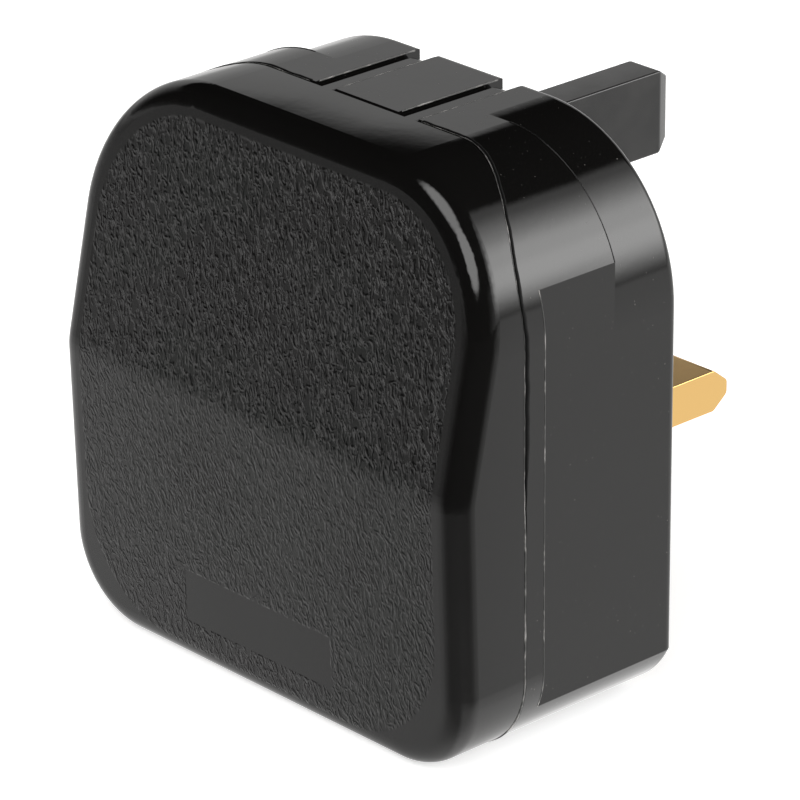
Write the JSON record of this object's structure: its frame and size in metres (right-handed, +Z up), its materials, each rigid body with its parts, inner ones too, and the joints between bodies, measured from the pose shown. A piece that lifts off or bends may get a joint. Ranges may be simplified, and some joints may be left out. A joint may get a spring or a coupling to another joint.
{
  "type": "eu to uk plug converter",
  "caption": "Fused plug converter with a hinged cover: takes a flat round-pin plug inside and carries rectangular pins behind.",
  "frame": {"origin": "on the pin face, midway between the line and neutral pins", "axes": "+X to the right seen from the cover, +Y out of the pin face towards the pin tips, +Z up towards the earth pin"},
  "size_m": [0.052, 0.0499, 0.0529],
  "materials": {
    "black_plastic": "polished moulding",
    "cover_plastic": "fine leather grain on the face, polished edges",
    "sleeve_plastic": "satin",
    "carrier_plastic": "satin",
    "pin_brass": "brushed and bright",
    "contact_brass": "pressed sheet",
    "spring_steel": "plain",
    "screw_steel": "bright zinc",
    "fuse_ceramic": "glazed ceramic",
    "fuse_cap_metal": "bright nickel"
  },
  "bodies": {
    "housing": {"base_housing": "black_plastic", "line_pin": "pin_brass", "neutral_pin": "pin_brass", "line_pin_sleeve": "sleeve_plastic", "neutral_pin_sleeve": "sleeve_plastic", "earth_pin": "black_plastic", "line_contact": "contact_brass", "line_link": "contact_brass", "neutral_contact": "contact_brass", "line_contact_spring": "spring_steel", "neutral_contact_spring": "spring_steel", "fuse_body": "fuse_ceramic", "fuse_wire": "fuse_cap_metal", "fuse_cap_lower": "fuse_cap_metal", "fuse_cap_upper": "fuse_cap_metal", "contact_carrier": "carrier_plastic", "carrier_screw_upper": "screw_steel", "carrier_screw_left": "screw_steel", "carrier_screw_right": "screw_steel"},
    "lid": {"cover": "cover_plastic"}
  },
  "joints": [
    {"name": "cover_hinge", "type": "hinge", "parent": "housing", "child": "lid", "pos_m": [0, -0.0044, 0.0285], "axis": [-1, 0, 0], "range_deg": [0, 100]}
  ]
}
